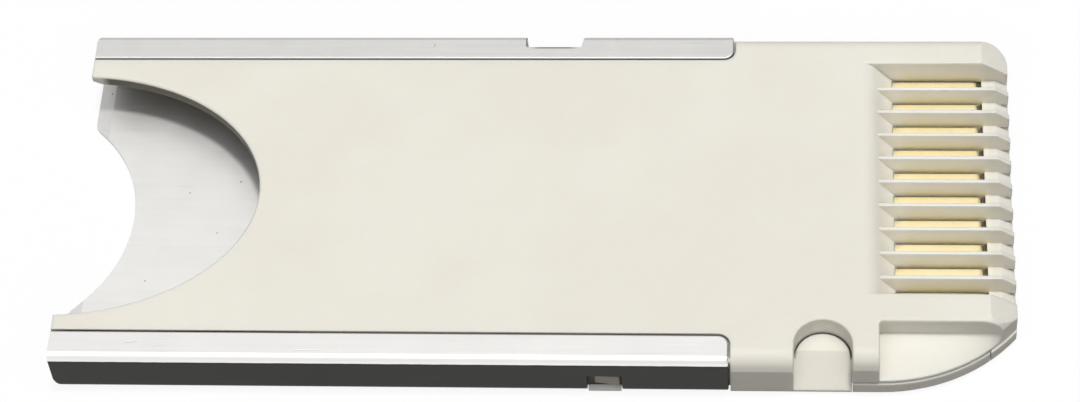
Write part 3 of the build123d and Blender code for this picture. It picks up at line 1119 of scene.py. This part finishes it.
@dataclass
class FoldedCover(CarriedPieces):
    """The cover folded from one steel sheet."""

    nodes: tuple[str, ...] = ("metal_cover",)
    finish: CoatedSteel = field(default_factory=CoatedSteel)


@dataclass
class CardSpring(CarriedPieces):
    """The leaf spring in the near rail."""

    nodes: tuple[str, ...] = ("card_spring",)
    finish: SpringSteel = field(default_factory=SpringSteel)


@dataclass
class ContactRow(CarriedPieces):
    """The row of stamped contact strips."""

    nodes: tuple[str, ...] = tuple(f"contact_{number:02d}" for number in range(1, 11))
    finish: GoldPlate = field(default_factory=GoldPlate)


@dataclass
class StudioFloor:
    """Plain white floor that keeps the adapter's soft shadow.

    Attributes:
        half_size_m: Half of the floor's side, in metres.
        drop: How far it lies under the label face.
        shadow_share: Share of the floor's white that the lamps light, and a shadow takes away.
        white: Lightness of that share.
        bounce: How much light the floor sends back to the object.
        clear_reach: Distance up to which a face lying on the floor gets light through it, and
            from which it gets none.
    """

    half_size_m: float = 2.0
    drop: float = 0.02
    shadow_share: float = 0.1
    white: float = 0.98
    bounce: float = 0.1
    clear_reach: Range = (0.0396, 0.0400)

    def build(self) -> None:
        """Lay the floor."""
        shape = bmesh.new()
        bmesh.ops.create_grid(shape, x_segments=1, y_segments=1, size=self.half_size_m)
        bmesh.ops.translate(shape, verts=shape.verts, vec=(0.0, 0.0, -self.drop * MM))
        mesh = bpy.data.meshes.new("studio_floor")
        shape.to_mesh(mesh)
        shape.free()
        mesh.materials.append(self.material())
        floor = bpy.data.objects.new("studio_floor", mesh)
        bpy.context.scene.collection.objects.link(floor)
        LOG.info("studio_floor: %.1f m square", 2 * self.half_size_m)

    def material(self) -> bpy.types.Material:
        """Make a floor that looks white, takes a shadow and is clear from beneath."""
        material = bpy.data.materials.new("studio_floor")
        material.use_nodes = True
        graph = Graph(material.node_tree)
        looked_at = graph.rays(RayKind.CAMERA, RayKind.GLOSSY, RayKind.TRANSMISSION)
        white = graph.add(NodeKind.EMISSION, None, {"Color": (1.0, 1.0, 1.0), "Strength": 1.0})
        lit = graph.add(NodeKind.DIFFUSE, None, {"Color": (self.white,) * 3})
        plain = graph.add(NodeKind.DIFFUSE, None, {"Color": (self.bounce,) * 3})
        clear = graph.add(NodeKind.TRANSPARENT)
        shown = graph.mix_shaders(self.shadow_share, white, lit)
        top = graph.mix_shaders(looked_at, plain, shown)
        beneath = Value(graph, graph.add(NodeKind.GEOMETRY).outputs["Backfacing"])
        full, none = (edge * MM for edge in self.clear_reach)
        length = Value(graph, graph.add(NodeKind.LIGHT_PATH).outputs["Ray Length"])
        near = length.fall(full, none)
        whole = graph.mix_shaders(beneath.at_least(near * (1.0 - looked_at)), top, clear)
        graph.add(NodeKind.SURFACE_OUTPUT, None, {"Surface": whole.outputs[0]})
        return material


@dataclass
class StudioSky:
    """White tent round the object: bright overhead and dim low down, and white wherever it is seen.

    Attributes:
        peak: Brightness of its roof, as a light.
        low_light: Brightness of its foot, as a light.
        under_light: Brightness under the floor, which only the face that lies on it gets.
        roof: Direction of the middle of its roof.
        light_foot: Height at which its light starts to rise, as a share of straight up.
        light_full: Height from which its light is full.
        mirror_low: Brightness that metal mirrors low in the tent.
        mirror_high: Brightness that metal mirrors high in the tent.
        mirror_foot: Height at which the mirrored tent starts to brighten.
        mirror_full: Height from which the mirrored tent is brightest.
        left_gain: How much brighter the mirrored tent is towards the slot end.
        front_gain: How much brighter it is low on the near side.
        front_edge: Directions along Y at which the near side is full, and at which it ends.
        under_edge: Heights at which the light under the floor is full, and at which it ends.
    """

    peak: float = 0.90
    low_light: float = 0.04
    under_light: float = 0.85
    roof: Triple = (0.06, -0.43, 0.90)
    light_foot: float = 0.44
    light_full: float = 0.85
    mirror_low: float = 0.49
    mirror_high: float = 0.97
    mirror_foot: float = 0.74
    mirror_full: float = 0.84
    left_gain: float = 0.35
    front_gain: float = 0.38
    front_edge: Range = (-0.6, -0.25)
    under_edge: Range = (-0.3, -0.1)

    def build(self) -> None:
        """Light the scene with the tent."""
        world = bpy.data.worlds.new("studio_sky")
        world.use_nodes = True
        graph = Graph(world.node_tree)
        seen = graph.rays(RayKind.CAMERA, RayKind.TRANSMISSION)
        mirrored = graph.rays(RayKind.GLOSSY)
        direction = graph.add(NodeKind.COORDINATES).outputs["Generated"]
        along, across, height = graph.parts(direction)
        roof = graph.dot(direction, self.roof).rise(self.light_foot, self.light_full)
        light = self.low_light + roof * (self.peak - self.low_light)
        light = light + height.fall(*self.under_edge) * self.under_light
        mirror = height.rise(self.mirror_foot, self.mirror_full)
        mirror = self.mirror_low + mirror * (self.mirror_high - self.mirror_low)
        mirror = mirror - along * self.left_gain + across.fall(*self.front_edge) * self.front_gain
        strength = seen + mirrored * mirror + (1.0 - seen.at_least(mirrored)) * light
        sky = graph.add(NodeKind.BACKGROUND, None, {"Color": (1.0, 1.0, 1.0), "Strength": strength})
        graph.add(NodeKind.WORLD_OUTPUT, None, {"Surface": sky.outputs[0]})
        bpy.context.scene.world = world
        LOG.info("studio_sky: roof %.2f, foot %.2f", self.peak, self.low_light)


@dataclass(frozen=True)
class KeyLamp:
    """Large lamp nearly overhead, far enough to light every part alike.

    Attributes:
        level: Share of a colour's full brightness that it gives a face square to it.
        spread: How wide the lamp looks, in degrees.
        towards: Direction from the object to the lamp.
        colour: Colour of its light.
    """

    level: float = 0.50
    spread: float = 8.0
    towards: Triple = (0.09, 0.09, 1.0)
    colour: Colour = (1.0, 0.995, 0.985)

    def build(self) -> None:
        """Hang the lamp."""
        data = bpy.data.lights.new("key_lamp", "SUN")
        data.energy = self.level * math.pi
        data.angle = math.radians(self.spread)
        data.color = self.colour
        lamp = bpy.data.objects.new("key_lamp", data)
        lamp.rotation_mode = "QUATERNION"
        lamp.rotation_quaternion = Vector(self.towards).to_track_quat("Z", "Y")
        bpy.context.scene.collection.objects.link(lamp)
        LOG.info("key_lamp: level %.2f", self.level)


@dataclass(frozen=True)
class PhotoCamera:
    """Camera at the photograph's place.

    Attributes:
        place: Where it stands.
        right: Direction of the picture's right side.
        up: Direction of the picture's top.
        forward: Direction in which it looks.
        lens: Focal length for a sensor of this width.
        sensor: Width of the sensor.
        near_m: Distance from which it sees, in metres.
        far_m: Distance up to which it sees, in metres.
    """

    place: Triple = (13.910, -104.602, 144.645)
    right: Triple = (0.99692958, 0.04939736, -0.06075625)
    up: Triple = (-0.00389802, 0.80625403, 0.59155662)
    forward: Triple = (-0.07820631, 0.58950346, -0.80397104)
    lens: float = 111.198
    sensor: float = 36.0
    near_m: float = 0.01
    far_m: float = 20.0

    def build(self) -> None:
        """Set up the camera and make it the scene's."""
        data = bpy.data.cameras.new("photo_camera")
        data.lens = self.lens
        data.sensor_width = self.sensor
        data.clip_start = self.near_m
        data.clip_end = self.far_m
        camera = bpy.data.objects.new("photo_camera", data)
        back = -Vector(self.forward)
        axes = Matrix((self.right, self.up, back)).transposed()
        camera.matrix_world = Matrix.Translation(Vector(self.place) * MM) @ axes.to_4x4()
        bpy.context.scene.collection.objects.link(camera)
        bpy.context.scene.camera = camera
        LOG.info("photo_camera: %.1f mm lens", self.lens)


def main() -> None:
    """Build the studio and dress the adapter."""
    logging.basicConfig(level=logging.INFO, format="%(name)s: %(message)s")
    bpy.context.scene.view_settings.view_transform = "Standard"
    PhotoCamera().build()
    for pieces in (MouldedHousing(), BackPlate(), FoldedCover(), CardSpring(), ContactRow()):
        pieces.dress()
    StudioFloor().build()
    StudioSky().build()
    KeyLamp().build()


if __name__ == "__main__":
    main()
